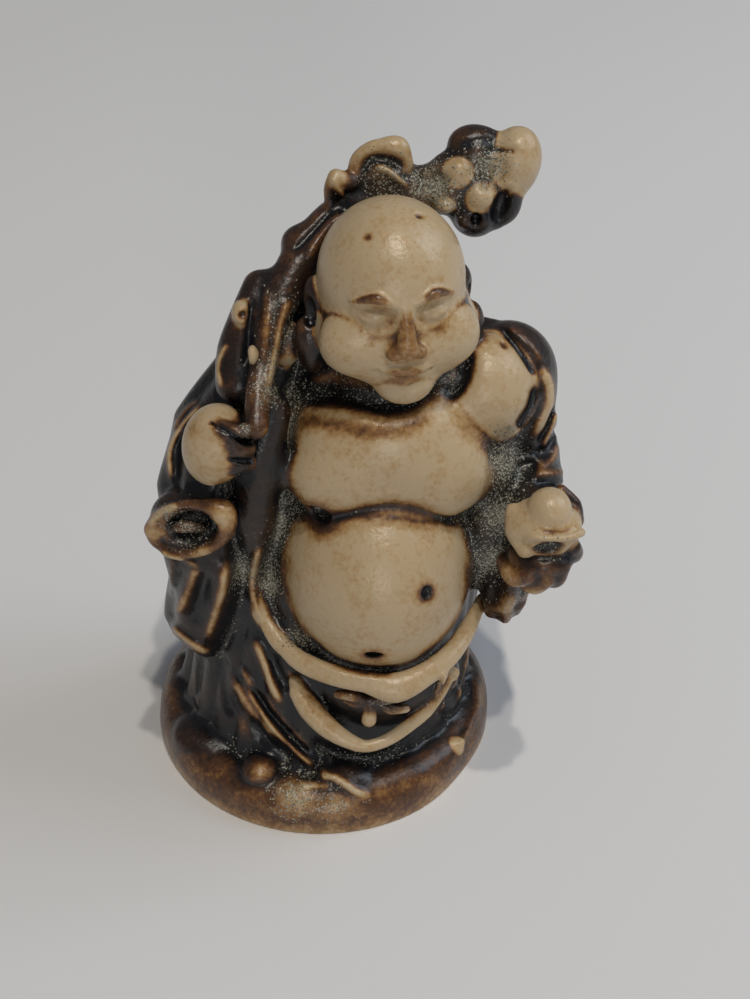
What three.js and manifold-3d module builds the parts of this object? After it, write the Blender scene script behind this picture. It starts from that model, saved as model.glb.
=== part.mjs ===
// A laughing buddha figurine, about 58 mm tall, cast in one piece: a stout monk in an open robe stands on a
// round base. He carries a sack on a gnarled branch over his right shoulder and an ingot in his left hand.
// Millimetres, +Z up. The figure looks along -Y, and the origin is the middle of the base's underside.

import * as THREE from "three";
import { mergeVertices } from "three/addons/utils/BufferGeometryUtils.js";
import Module from "manifold-3d";

const wasm = await Module();
wasm.setup();

// Driving dimensions
const BASE_RADIUS = 16;
const BASE_HEIGHT = 4.2;
const BODY_X = 5.4; // the body stands right of the base's middle, to balance the sack
const BELLY_Z = 22.6;
const CHEST_Z = 34.6;
const SASH_Z = 15.4; // the sash under the belly
const SHOULDER_Z = 38.8;
const HEAD_Z = 49;
const HEAD_HALF_WIDTH = 5.9;
const HEAD_TURN = 8; // degrees, towards the figure's left
const FINGER_RADIUS = 0.95;
const BRANCH_RADIUS = 2.1;
const RESIN_COLOUR = 0xcfae84;
const RESIN_ROUGHNESS = 0.35;

const { Vector3 } = THREE;
const point = (x, y, z) => new Vector3(x, y, z);
const radians = THREE.MathUtils.degToRad;

// Solids

// A closed geometry as a manifold-3d solid.
function solidOf(geometry) {
  const bare = geometry.clone();
  bare.deleteAttribute("normal");
  bare.deleteAttribute("uv");
  const merged = mergeVertices(bare, 1e-4);
  return new wasm.Manifold(
    new wasm.Mesh({
      numProp: 3,
      vertProperties: merged.attributes.position.array,
      triVerts: new Uint32Array(merged.index.array),
    }),
  );
}

// An ellipsoid with half sizes along X, Y and Z, turned by degrees about each axis.
function ball(centre, halfSizes, turn = [0, 0, 0], around = 10) {
  const geometry = new THREE.SphereGeometry(1, around, Math.round(around * 0.6));
  geometry.rotateX(Math.PI / 2);
  geometry.scale(...halfSizes);
  geometry.applyMatrix4(
    new THREE.Matrix4().makeRotationFromEuler(new THREE.Euler(...turn.map(radians))),
  );
  geometry.translate(centre.x, centre.y, centre.z);
  return solidOf(geometry);
}

// A surface of rings, closed by a fan at each end. ringPoint(i, j) is point j of ring i.
function ringed(rings, sides, ringPoint, firstEnd, lastEnd) {
  const positions = [];
  const index = [];
  for (let i = 0; i < rings; i++)
    for (let j = 0; j < sides; j++) positions.push(...ringPoint(i, j).toArray());
  const start = positions.push(...firstEnd.toArray()) / 3 - 1;
  const end = positions.push(...lastEnd.toArray()) / 3 - 1;
  const last = (rings - 1) * sides;
  for (let j = 0; j < sides; j++) {
    const next = (j + 1) % sides;
    index.push(start, next, j, end, last + j, last + next);
    for (let i = 0; i < last; i += sides)
      index.push(i + j, i + next, i + sides + j, i + next, i + sides + next, i + sides + j);
  }
  const geometry = new THREE.BufferGeometry();
  geometry.setAttribute("position", new THREE.Float32BufferAttribute(positions, 3));
  geometry.setIndex(index);
  return solidOf(geometry);
}

// Value at t, from 0 to 1, of a list of numbers spread evenly along it.
function along(list, t) {
  const place = t * (list.length - 1);
  const low = Math.min(Math.floor(place), list.length - 2);
  return THREE.MathUtils.lerp(list[low], list[low + 1], place - low);
}

// A smooth blunt-ended rod through the points. Its radius follows the list, and flat is how thick it is
// across, as a share of its width, where the width is measured along the direction called wide.
function limb(points, radii, { sides = 8, steps = 2, flat = 1, wide = point(0, 0, 1) } = {}) {
  const curve = new THREE.CatmullRomCurve3(points, false, "centripetal");
  const spans = (points.length - 1) * steps;
  const ring = (t, shift, shrink) => {
    const tangent = curve.getTangent(t);
    const radius = along(radii, t);
    const out = wide.clone().addScaledVector(tangent, -wide.dot(tangent)).normalize();
    return {
      centre: curve.getPoint(t).addScaledVector(tangent, shift * radius * flat),
      out,
      side: tangent.clone().cross(out),
      radius: radius * shrink,
    };
  };
  const rings = [
    ring(0, -0.75, 0.7),
    ...Array.from({ length: spans + 1 }, (_, i) => ring(i / spans, 0, 1)),
    ring(1, 0.75, 0.7),
  ];
  return ringed(
    rings.length,
    sides,
    (i, j) => {
      const angle = (j / sides) * 2 * Math.PI;
      const { centre, out, side, radius } = rings[i];
      return centre
        .clone()
        .addScaledVector(out, Math.cos(angle) * radius)
        .addScaledVector(side, Math.sin(angle) * radius * flat);
    },
    ring(0, -1, 0).centre,
    ring(1, 1, 0).centre,
  );
}

// A standing body of level ovals. Each level is [z, middle x, middle y, half width, half depth], and
// fold(angle, z) scales the oval there, with the angle from +X towards +Y.
function draped(levels, { sides, rows, fold = () => 1 }) {
  const at = (i) => [0, 1, 2, 3, 4].map((k) => along(levels.map((level) => level[k]), i / (rows - 1)));
  const middle = (i) => point(at(i)[1], at(i)[2], at(i)[0]);
  return ringed(
    rows,
    sides,
    (i, j) => {
      const [z, x, y, halfWidth, halfDepth] = at(i);
      const angle = (j / sides) * 2 * Math.PI;
      const scale = fold(angle, z);
      return point(
        x + halfWidth * scale * Math.cos(angle),
        y + halfDepth * scale * Math.sin(angle),
        z,
      );
    },
    middle(0),
    middle(rows - 1),
  );
}

const joined = (...solids) => solids.reduce((whole, solid) => whole.add(solid));

// The base: a low round plinth with a sharp bottom edge, a rounded lip and two bumps of rock
function base() {
  const profile = [
    [0, 0],
    [1, 0],
    [1, 0.12],
    [0.985, 0.42],
    [0.945, 0.7],
    [0.86, 0.92],
    [0, 1.08],
  ].map(([r, z]) => new THREE.Vector2(r * BASE_RADIUS, z * BASE_HEIGHT));
  const geometry = new THREE.LatheGeometry(profile, 35);
  geometry.rotateX(Math.PI / 2);
  return joined(
    solidOf(geometry),
    ball(point(12, -8, 3.4), [1.3, 1.1, 1], [0, 0, 0], 8),
    ball(point(-11, -7, 4), [2.6, 2.2, 1], [0, 0, 0], 8),
  );
}

// The robe: one heavy bell from the hem to the neck, with folds that deepen towards the hem
function robe() {
  const backFolds = 13;
  const fold = (angle, z) => {
    const behind = THREE.MathUtils.smoothstep(Math.sin(angle), -0.35, 0.3);
    const depth = 0.035 * THREE.MathUtils.smoothstep(34 - z, 0, 26);
    return 1 + depth * (0.35 + behind) * Math.cos(backFolds * angle + 0.04 * z);
  };
  return draped(
    [
      [2.5, 0, 0.6, 14.2, 13.2],
      [6.5, 0.4, 0.7, 13.3, 12.2],
      [10.5, 0.9, 0.8, 13, 11.6],
      [14.5, 1.5, 0.9, 12.9, 11],
      [18.5, 2, 1.1, 12.8, 10],
      [22.5, 2.6, 1.3, 12.6, 8.8],
      [26.5, 3.2, 1.6, 12.4, 7.8],
      [30.5, 4, 1.8, 12.2, 7],
      [34.5, 4.8, 1.8, 11.6, 6.2],
      [38.5, 5.6, 1.6, 10, 5.2],
      [42.5, 6.2, 1.2, 6, 4],
    ],
    { sides: 39, rows: 9, fold },
  );
}

// The two front edges of the robe, from the shoulders down beside the chest and the belly
function frontEdges() {
  const rightEdge = limb(
    [
      point(-3.6, -4, 40.5),
      point(-5.6, -5.4, 35),
      point(-6.4, -6, 29),
      point(-6.2, -5, 23.5),
      point(-6.4, -5.6, 18.6),
    ],
    [1.2, 1.4, 1.6, 1.4, 1.1],
    { sides: 6 },
  );
  const leftEdge = limb(
    [point(15.2, -1.6, 36), point(15, -3.6, 31), point(14.4, -4.6, 26), point(13.9, -4.4, 20.5)],
    [1.6, 2.1, 2, 1.2],
    { sides: 6 },
  );
  return joined(rightEdge, leftEdge);
}

// The bare trunk: belly, a broad chest with two soft breasts, and the neck
function trunk() {
  const breast = (side) =>
    ball(point(BODY_X + 0.5 + side * 4, -5.7, CHEST_Z - 0.8), [4.4, 3.3, 3.9], [0, 0, 0], 12);
  return joined(
    ball(point(BODY_X - 0.5, -3.5, BELLY_Z), [8.9, 10, 10], [0, 0, 0], 18),
    breast(-1),
    breast(1),
    ball(point(BODY_X + 0.5, -2.7, CHEST_Z + 1.2), [8.4, 5.7, 6], [0, 0, 0], 12),
    limb([point(6, -0.5, 38), point(6.3, -1.2, 44)], [4.6, 4], { steps: 1 }),
  );
}

// The bare left shoulder
const shoulder = () => ball(point(14.7, -0.6, SHOULDER_Z), [5, 4.5, 4.8], [0, 0, 0], 12);

// The head, made about its own middle and then turned. The face is plain and calm: closed lids at half the
// head's height, the nose a quarter lower, and the mouth a third of the way from the nose to the chin.
function head() {
  const facial = { sides: 5, steps: 1 };
  const eye = (side) =>
    joined(
      ball(point(side * 2.25, -5.15, 0.1), [1.35, 0.75, 0.8], [0, 0, side * 12], 6),
      limb(
        [
          point(side * 1.0, -6, 1.5),
          point(side * 2.3, -5.75, 2.0),
          point(side * 3.7, -4.7, 1.4),
        ],
        [0.35, 0.45, 0.3],
        facial,
      ),
    );
  const ear = (side) =>
    joined(
      ball(point(side * 5.7, 1.1, -2.1), [1.2, 1.7, 2.5], [0, side * 8, 0], 7),
      ball(point(side * 6.6, 0.4, -5.4), [1.3, 1.5, 2.6], [0, side * 8, 0], 7),
    );
  const nose = joined(
    limb([point(0, -5.9, 0.9), point(0, -7, -1), point(0, -7.3, -2.3)], [0.5, 0.65, 0.95], facial),
    ball(point(-0.85, -6.6, -2.5), [0.7, 0.7, 0.6], [0, 0, 0], 6),
    ball(point(0.85, -6.6, -2.5), [0.7, 0.7, 0.6], [0, 0, 0], 6),
  );
  const lip = (z, forward, thick) =>
    limb(
      [
        point(-2.1, -5.9, z + 0.3),
        point(-0.9, -forward, z),
        point(0.9, -forward, z),
        point(2.1, -5.9, z + 0.3),
      ],
      [0.2, thick, thick, 0.2],
      facial,
    );
  const made = joined(
    ball(point(0, 0, 0.7), [HEAD_HALF_WIDTH, 6.2, 6.3], [0, 0, 0], 16),
    ball(point(0, -0.9, -3.4), [HEAD_HALF_WIDTH + 0.9, 5.7, 4.2], [0, 0, 0], 13),
    ball(point(-3.6, -3.7, -2.7), [2.6, 2.1, 2.3], [0, 0, 0], 8),
    ball(point(3.6, -3.7, -2.7), [2.6, 2.1, 2.3], [0, 0, 0], 8),
    ball(point(0, -5.2, -6), [1.9, 1.5, 1.4], [0, 0, 0], 7),
    nose,
    lip(-4, 6.6, 0.42),
    lip(-4.7, 6.45, 0.5),
    eye(-1),
    eye(1),
    ear(-1),
    ear(1),
  );
  return made.rotate([0, 0, HEAD_TURN]).translate([6.1, -1.6, HEAD_Z]);
}

// The right arm: a wide sleeve that hangs to the hip, its open cuff, and a fist round the branch
function rightArm() {
  const sleeve = draped(
    [
      [12, -10.4, -1.8, 2.6, 2.6],
      [15, -10, -1.6, 4.3, 5.2],
      [20, -9.7, -1.6, 4, 6.2],
      [25, -9.8, -1.8, 4.1, 6.6],
      [30, -9.6, -1.4, 4.1, 6],
      [35, -8, 0, 4.1, 5.2],
      [40, -4.6, 1.8, 3.6, 4],
      [43, -2.6, 2.4, 2, 2],
    ],
    { sides: 16, rows: 8, fold: (angle, z) => 1 + 0.06 * Math.sin(5 * angle + z / 3) },
  );
  const cuff = limb(
    [
      point(-13.9, -7.4, 28.7),
      point(-11.6, -8.2, 31.7),
      point(-8.2, -8.8, 31.4),
      point(-7.9, -9, 28.8),
      point(-10.4, -8.8, 27),
      point(-13.5, -7.6, 28),
    ],
    [1.1, 0.9, 1.2, 1.1, 0.9, 1],
    { sides: 6, steps: 1 },
  );
  const wrist = ball(point(-11, -6.4, 29.4), [3.3, 2.6, 2.7], [0, 0, 0], 8);
  const mouth = ball(point(-11, -9.8, 29.3), [2.1, 1.7, 1.5], [0, 0, 0], 7);
  const fist = joined(
    ball(point(-8.4, -6.8, 37.2), [2.9, 2.9, 3.8], [0, 12, 0], 9),
    ...[39.8, 38.1, 36.5].map((z) =>
      limb(
        [point(-8.2, -8.9, z), point(-6.9, -9.3, z - 0.1), point(-5.6, -8.5, z - 0.3)],
        [FINGER_RADIUS * 0.7, FINGER_RADIUS, FINGER_RADIUS],
        { sides: 6, steps: 1 },
      ),
    ),
  );
  return joined(sleeve, wrist, cuff).subtract(mouth).add(fist);
}

// The left arm: sleeve folds down the upper arm, a forearm held forwards, and a palm under the ingot
function leftArm() {
  const sleeve = limb(
    [point(16.4, 0.4, 36.6), point(17.4, 0.8, 32.6), point(17.8, 0.2, 29.6)],
    [3.7, 3.5, 3.5],
    { sides: 10, steps: 1 },
  );
  const rolls = [
    [35.4, 0.7],
    [32.6, 0.6],
    [30.6, 0.6],
  ].map(([z, thick]) =>
    limb(
      [point(14.2, -3.4, z + 1.2), point(18, -2.8, z), point(20.4, 0.8, z - 0.6)],
      [thick, thick * 1.3, thick * 0.8],
      { sides: 5 },
    ),
  );
  const forearm = limb(
    [point(18, 0.2, 29.2), point(18.6, -5.5, 28.6), point(18.2, -10, 29)],
    [3.4, 2.9, 2.1],
    { sides: 9, steps: 1 },
  );
  const hanging = draped(
    [
      [17, 16.2, -4, 1.5, 2.6],
      [19.5, 16.4, -3.8, 2.3, 3.8],
      [24, 17, -3.6, 2.6, 4.2],
      [28, 17.6, -3.6, 2.4, 3.8],
    ],
    { sides: 11, rows: 4 },
  );
  const palm = ball(point(18.3, -11.2, 28.9), [2.9, 3.2, 1.5], [-8, 0, 0], 8);
  const fingers = [-2, -0.7, 0.6].map((across) =>
    limb(
      [
        point(18 + across, -11.6, 27.7),
        point(18 + across, -13.7, 28.2),
        point(18 + across, -14.3, 29.5),
      ],
      [FINGER_RADIUS, FINGER_RADIUS, FINGER_RADIUS * 0.85],
      { sides: 6, steps: 1 },
    ),
  );
  const thumb = limb(
    [point(20.6, -9.6, 28), point(21, -11.8, 29.2), point(20.7, -13, 30.4)],
    [1.1, 1, 0.8],
    { sides: 6, steps: 1 },
  );
  return joined(sleeve, ...rolls, forearm, hanging, palm, ...fingers, thumb);
}

// The ingot: a round boat with a dome in it, dished at the front
function ingot() {
  const middle = point(18.1, -11.7, 31.9);
  const rim = limb(
    [
      middle.clone().add(point(-2.8, 0.4, 1.5)),
      middle.clone().add(point(-1.4, -2.1, 0.9)),
      middle.clone().add(point(1.4, -2.1, 0.9)),
      middle.clone().add(point(2.8, 0.4, 1.5)),
    ],
    [0.6, 0.45, 0.45, 0.6],
    { sides: 6, steps: 1 },
  );
  return joined(
    ball(middle, [3.05, 2.7, 2.3]),
    rim,
    ball(middle.clone().add(point(0.1, 0.3, 2.1)), [1.95, 1.95, 1.95], [0, 0, 0], 9),
  ).subtract(ball(middle.clone().add(point(0, -2.9, -0.5)), [1.2, 0.9, 0.8], [0, 0, 0], 8));
}

// The sack, slung behind the right shoulder, and its gathered neck
const sack = () =>
  draped(
    [
      [26, -1, 6.4, 2.6, 2.2],
      [31, -1.3, 7, 6.8, 5.4],
      [36, -1.4, 7.2, 7.6, 6.2],
      [41, -0.6, 6.6, 5.6, 5],
      [45, 0.3, 6, 3.4, 3.4],
      [48.5, 1, 6, 2.2, 2.2],
    ],
    { sides: 18, rows: 6, fold: (angle, z) => 1 + 0.0022 * (z - 26) * Math.cos(6 * angle) },
  );

// The branch, from the fist over the shoulder and behind the head, with its burls, a leaf and a flared end
function branch() {
  const rod = limb(
    [
      point(-4.8, -8, 38.6),
      point(-4.8, -4.4, 41.5),
      point(-4.1, -0.8, 44.3),
      point(-1.9, 2.6, 47.2),
      point(1, 5.2, 49.8),
      point(5, 6.8, 52.2),
      point(10, 7, 53),
      point(14, 7, 53.4),
    ],
    [1.3, 1.5, 1.8, BRANCH_RADIUS, BRANCH_RADIUS, BRANCH_RADIUS, BRANCH_RADIUS, 2],
    { sides: 7 },
  );
  return joined(
    rod,
    ball(point(-5.8, -1.2, 44.6), [1.5, 1.7, 1.8], [0, 0, 0], 8),
    ball(point(5.8, 7.2, 54.6), [2.6, 2.1, 2.2], [0, -12, 0], 8),
    ball(point(11.5, 6.4, 52.8), [2, 2, 2.4], [0, 20, 0], 8),
    ball(point(15.2, 7, 54.3), [2.9, 2.8, 4], [0, 24, 0]),
    ball(point(13.7, 5.4, 51.7), [2.7, 2.4, 2.3], [0, -20, 0], 8),
    limb(
      [point(2.9, 5.6, 51.4), point(2, 5.6, 53.4), point(2.3, 5.6, 54.5)],
      [1.3, 0.8, 0.6],
      { sides: 6, steps: 1 },
    ),
  );
}

// The sash: a thick roll of cloth that carries the belly
const sash = () =>
  limb(
    [
      point(-5.6, -3.2, SASH_Z + 9),
      point(-5.9, -5.4, SASH_Z + 3.4),
      point(-3.7, -8.6, SASH_Z + 1.1),
      point(-0.2, -11.3, SASH_Z + 0.2),
      point(5.6, -13, SASH_Z),
      point(10.2, -11.3, SASH_Z + 0.1),
      point(12.7, -8, SASH_Z + 0.4),
      point(14.6, -3.8, SASH_Z + 1.8),
    ],
    [0.4, 0.8, 1.2, 1.3, 1.6, 1.3, 1.1, 0.7],
    { sides: 7, flat: 0.7 },
  );

// The apron: cloth that hangs from the sash to a hem in a V, with a knot over it
function apron() {
  const hem = limb(
    [
      point(-3.6, -8.8, 13.4),
      point(-0.9, -11.3, 10.2),
      point(1.8, -12.3, 8.7),
      point(4.2, -12.8, 8),
      point(6.7, -12.3, 8.5),
      point(8.9, -11.1, 10),
      point(11.4, -8.6, 12),
    ],
    [0.9, 1.2, 1, 0.8, 0.9, 0.9, 0.7],
    { sides: 5 },
  );
  return joined(
    ball(point(4.8, -6.2, 12), [7.6, 6.2, 5.4], [0, 0, 0], 12),
    hem,
    ball(point(3.1, -12.4, 12.8), [1.8, 1, 0.8], [0, 14, 0], 7),
    ball(point(6.9, -12.2, 12.4), [1.7, 1, 0.8], [0, -24, 0], 7),
    ball(point(5, -12.6, 11.9), [0.9, 1, 1.1], [0, 0, 0], 7),
  );
}

// Long folds that sweep from the right hip across the front of the skirt to the hem
function sweptFolds() {
  const sweep = (out, drop, thick) =>
    limb(
      [
        point(-6.8 - out, -6 + 0.6 * out, 18 - drop),
        point(-7 - out, -8.6 + 0.7 * out, 13.6 - drop),
        point(-4.9 - out, -11.2 + 0.6 * out, 9 - 0.5 * drop),
        point(-1.6 - 1.6 * out, -12.9 + 0.5 * out, 5.2),
      ],
      [thick * 0.6, thick, thick, thick * 0.6],
      { sides: 6 },
    );
  return joined(sweep(0, 0, 0.9), sweep(2, 1, 0.8), sweep(4, 2, 0.9));
}

// The toes of two shoes under the hem
const shoes = () =>
  joined(
    ball(point(-6, -11.6, 4.4), [1.7, 1.9, 1.1], [0, 0, -16], 8),
    ball(point(1.6, -12.9, 4.2), [2.4, 1.7, 1.2], [0, 0, 6], 8),
  );

const whole = joined(
  base(),
  robe(),
  frontEdges(),
  trunk(),
  shoulder(),
  head(),
  rightArm(),
  leftArm(),
  ingot(),
  sack(),
  branch(),
  sash(),
  apron(),
  sweptFolds(),
  shoes(),
);

// The casting as one three.js mesh
function meshOf(solid, name, material) {
  const { vertProperties, triVerts } = solid.getMesh();
  const geometry = new THREE.BufferGeometry();
  geometry.setAttribute("position", new THREE.BufferAttribute(vertProperties, 3));
  geometry.setIndex(new THREE.BufferAttribute(triVerts, 1));
  geometry.computeVertexNormals();
  const mesh = new THREE.Mesh(geometry, material);
  mesh.name = name;
  return mesh;
}

const resin = new THREE.MeshStandardMaterial({
  color: RESIN_COLOUR,
  roughness: RESIN_ROUGHNESS,
  metalness: 0,
});

const figurine = new THREE.Group();
figurine.add(meshOf(whole, "figurine", resin));

export default figurine;
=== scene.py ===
"""A small laughing buddha figurine in cast resin: cream where it is rubbed, dark brown in its folds."""

import math

import bpy
import numpy as np
from mathutils import Euler, Matrix, Vector


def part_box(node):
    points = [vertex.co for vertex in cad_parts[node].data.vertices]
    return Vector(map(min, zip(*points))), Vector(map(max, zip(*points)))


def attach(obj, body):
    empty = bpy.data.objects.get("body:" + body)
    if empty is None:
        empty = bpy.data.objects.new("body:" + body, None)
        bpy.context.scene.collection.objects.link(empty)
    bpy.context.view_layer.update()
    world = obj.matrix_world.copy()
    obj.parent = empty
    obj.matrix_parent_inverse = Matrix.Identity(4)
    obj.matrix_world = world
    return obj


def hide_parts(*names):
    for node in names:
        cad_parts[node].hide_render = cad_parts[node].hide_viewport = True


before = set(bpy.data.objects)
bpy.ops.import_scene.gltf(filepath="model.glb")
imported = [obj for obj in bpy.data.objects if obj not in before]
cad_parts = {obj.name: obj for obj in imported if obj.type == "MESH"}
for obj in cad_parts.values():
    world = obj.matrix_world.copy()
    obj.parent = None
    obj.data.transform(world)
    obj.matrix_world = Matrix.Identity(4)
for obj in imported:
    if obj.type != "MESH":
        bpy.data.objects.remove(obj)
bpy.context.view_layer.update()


# The base. It is a low round plinth, 32 mm across, and the casting's flat sprue side is its underside.
# It comes from the mould with a rounded lip, a sharp bottom edge and low lumps of rock on top.
# The whole figurine is first built up as one block of clay, in millimetres, because it is one casting.

CELL = 0.2
CLAY_MARGIN = 0.9
FAR = 4.0
BASE_RADIUS = 16.0
BASE_TOP = 4.1
LIP_RADIUS = 2.5


class Form:
    """A shape between two corners, with a function that gives the distance to its surface."""

    def __init__(self, low, high, distance):
        self.low = np.asarray(low, dtype=float)
        self.high = np.asarray(high, dtype=float)
        self.distance = distance


class Clay:
    """A block of cells. Each cell holds its distance in millimetres to the surface, negative inside."""

    def __init__(self, low, high):
        self.axes = [np.arange(a, b, CELL, dtype=np.float32) for a, b in zip(low, high)]
        self.field = np.full([len(axis) for axis in self.axes], FAR, dtype=np.float32)

    def window(self, form, reach):
        """The part of the field round a form, and the coordinates of its cells."""
        spans = []
        for axis, low, high in zip(self.axes, form.low - reach, form.high + reach):
            spans.append(slice(*np.searchsorted(axis, [low, high])))
        x, y, z = (axis[span] for axis, span in zip(self.axes, spans))
        return tuple(spans), (x[:, None, None], y[None, :, None], z[None, None, :])

    def press_on(self, form, soft=0.35):
        """Joins a form on, with a fillet of about that size."""
        span, places = self.window(form, soft + 2 * CELL)
        old = self.field[span]
        new = np.minimum(form.distance(*places), FAR)
        mix = np.maximum(soft - np.abs(old - new), 0) / soft
        self.field[span] = np.minimum(old, new) - mix * mix * soft / 4

    def carve(self, form, soft=0.2):
        """Takes a form away, with a rounded edge of about that size."""
        span, places = self.window(form, soft + 2 * CELL)
        old = self.field[span]
        new = -form.distance(*places)
        mix = np.maximum(soft - np.abs(old - new), 0) / soft
        self.field[span] = np.maximum(old, new) + mix * mix * soft / 4


def ball(centre, half_sizes, turn=(0, 0, 0)):
    """An ellipsoid, turned by degrees about X, Y and Z."""
    axes = np.array(Euler([math.radians(t) for t in turn]).to_matrix())
    sizes = np.array(half_sizes, dtype=float)
    reach = np.sqrt((axes**2) @ (sizes**2))
    centre = np.array(centre, dtype=float)

    def distance(x, y, z):
        offset = (x - centre[0], y - centre[1], z - centre[2])
        near = 0
        steep = 0
        for k in range(3):
            along = sum(offset[i] * axes[i, k] for i in range(3))
            near = near + (along / sizes[k]) ** 2
            steep = steep + (along / sizes[k] ** 2) ** 2
        near = np.sqrt(near)
        return near * (near - 1) / np.sqrt(steep + 1e-6)

    return Form(centre - reach, centre + reach, distance)


clay_low, clay_high = (np.array(corner) * 1000 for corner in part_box("figurine"))
clay = Clay(clay_low - CLAY_MARGIN, clay_high + CLAY_MARGIN)


def plinth_distance(x, y, z):
    """A round plate with a rounded top edge. Its right front is worn a little flat."""
    worn = 0.35 * np.exp(-(((x - 13) ** 2 + (y + 9) ** 2) / 18))
    out = np.sqrt(x * x + y * y) - (BASE_RADIUS - LIP_RADIUS) + worn
    up = z - (BASE_TOP - LIP_RADIUS)
    round_edge = np.sqrt(np.maximum(out, 0) ** 2 + np.maximum(up, 0) ** 2)
    plate = round_edge + np.minimum(np.maximum(out, up), 0) - LIP_RADIUS
    return np.maximum(plate, -z)


plinth = Form((-16, -16, 0), (16, 16, BASE_TOP), plinth_distance)
clay.press_on(plinth)
rock = np.random.default_rng(7)
for turn in np.linspace(0, 2 * math.pi, 22, endpoint=False):
    turn = turn + rock.uniform(-0.1, 0.1)
    middle = rock.uniform(12.9, 14.0)
    lump = ball(
        (middle * math.cos(turn), middle * math.sin(turn), rock.uniform(2.4, 3.0)),
        (rock.uniform(1.6, 3.0), rock.uniform(1.0, 1.7), rock.uniform(0.7, 1.1)),
        (0, 0, math.degrees(turn) + 90),
    )
    clay.press_on(lump, 1.3)
stone = ball((12.1, -8.6, 3.2), (0.8, 0.7, 0.8))
clay.press_on(stone, 0.4)
clay.press_on(ball((-11, -6.6, 3.8), (3.0, 2.2, 1.1)), 1.4)


# The robe. One heavy bell of cloth from the hem to the neck, with folds that deepen towards the hem.
# On the back it is plain: long upright folds and a collar. The front hangs open beside the chest.

BACK_FOLDS = 13


def smooth_step(value, low, high):
    """0 below low, 1 above high, and smooth between. low may be the larger."""
    t = np.clip((value - low) / (high - low), 0, 1)
    return t * t * (3 - 2 * t)


def bell(levels, fold=None):
    """A standing body of level ovals: each is z, middle x, middle y, half width and half depth.
    fold gives how much the oval is scaled at an angle and a height."""
    heights, *rest = (np.array(column, dtype=float) for column in zip(*levels))
    x0, y0, half_x, half_y = rest
    low = (min(x0 - half_x) - 1, min(y0 - half_y) - 1, heights[0])
    high = (max(x0 + half_x) + 1, max(y0 + half_y) + 1, heights[-1])

    def distance(x, y, z):
        middle_x, middle_y, wide, deep = (np.interp(z, heights, part) for part in rest)
        dx = x - middle_x
        dy = y - middle_y
        near = np.sqrt((dx / wide) ** 2 + (dy / deep) ** 2) + 1e-6
        scale = 1 if fold is None else fold(np.arctan2(dy / deep, dx / wide), z)
        wall = (near - scale) * np.sqrt(dx * dx + dy * dy) / near
        return np.maximum(wall, np.maximum(heights[0] - z, z - heights[-1]))

    return Form(low, high, distance)


def smooth_path(points, per_span=6):
    """Points along a smooth curve through the given ones."""
    knots = np.array(points, dtype=float)
    knots = np.vstack([2 * knots[0] - knots[1], knots, 2 * knots[-1] - knots[-2]])
    path = []
    for before, start, end, after in zip(knots, knots[1:], knots[2:], knots[3:]):
        for t in np.linspace(0, 1, per_span, endpoint=False):
            bend = 2 * before - 5 * start + 4 * end - after
            twist = 3 * (start - end) + after - before
            path.append(start + 0.5 * t * (end - before + t * (bend + t * twist)))
    path.append(knots[-2])
    return np.array(path)


def roll(points, radii, flat=1.0, across=(0, -1, 0), per_span=6):
    """A round-ended roll along a smooth curve. Its thickness along across is flat times its width."""
    path = smooth_path(points, per_span)
    places = np.linspace(0, 1, len(path))
    sizes = np.interp(places, np.linspace(0, 1, len(radii)), radii)
    facing = np.array(across, dtype=float) / np.linalg.norm(across)
    stretch = 1 / flat - 1
    squeezed = path + stretch * (path @ facing)[:, None] * facing

    def distance(x, y, z):
        depth = stretch * (x * facing[0] + y * facing[1] + z * facing[2])
        place = (x + depth * facing[0], y + depth * facing[1], z + depth * facing[2])
        nearest = np.float32(FAR)
        for a, b, size_a, size_b in zip(squeezed, squeezed[1:], sizes, sizes[1:]):
            line = b - a
            offset = [place[k] - a[k] for k in range(3)]
            t = sum(offset[k] * line[k] for k in range(3)) / (line @ line)
            t = np.clip(t, 0, 1)
            gap = np.sqrt(sum((offset[k] - t * line[k]) ** 2 for k in range(3)))
            nearest = np.minimum(nearest, gap - (size_a + t * (size_b - size_a)))
        return nearest * (flat if flat < 1 else 1)

    reach = max(radii)
    return Form(path.min(axis=0) - reach, path.max(axis=0) + reach, distance)


TOOL = np.array((0.0, -0.79, 0.61))
TOOL_UP = np.array((0.0, 0.61, 0.79))
TOOL_DEPTH = 3.4


class Stroke:
    """A line drawn on the front with a modelling tool, held level along TOOL. It raises the surface by
    its height, or sinks it, and wipes that much of the stain off, or leaves more."""

    def __init__(self, points, width, height=0.0, wiped=0.0):
        path = smooth_path(points, 4)
        margin = max(2.2 * width, TOOL_DEPTH)
        self.low = path.min(axis=0) - margin
        self.high = path.max(axis=0) + margin
        self.line = np.stack([path[:, 0], path @ TOOL_UP, path @ TOOL], axis=1)
        self.width = width
        self.height = height
        self.wiped = wiped

    def strength(self, x, y, z):
        """1 along its middle, and 0 beside it, past its ends and far below or above it."""
        up = y * TOOL_UP[1] + z * TOOL_UP[2]
        depth = y * TOOL[1] + z * TOOL[2]
        result = np.float32(0)
        count = len(self.line) - 1
        for number, (a, b) in enumerate(zip(self.line, self.line[1:])):
            run = b - a
            t = np.clip(((x - a[0]) * run[0] + (up - a[1]) * run[1]) / (run[0] ** 2 + run[1] ** 2), 0, 1)
            gap = ((x - a[0] - t * run[0]) ** 2 + (up - a[1] - t * run[1]) ** 2) / self.width**2
            away = smooth_step(np.abs(depth - a[2] - t * run[2]), TOOL_DEPTH, TOOL_DEPTH * 0.5)
            place = (number + t) / count
            ends = smooth_step(np.minimum(place, 1 - place), -0.02, 0.16)
            result = np.maximum(result, np.exp(-gap) * away * ends)
        return result


strokes = []


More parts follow.
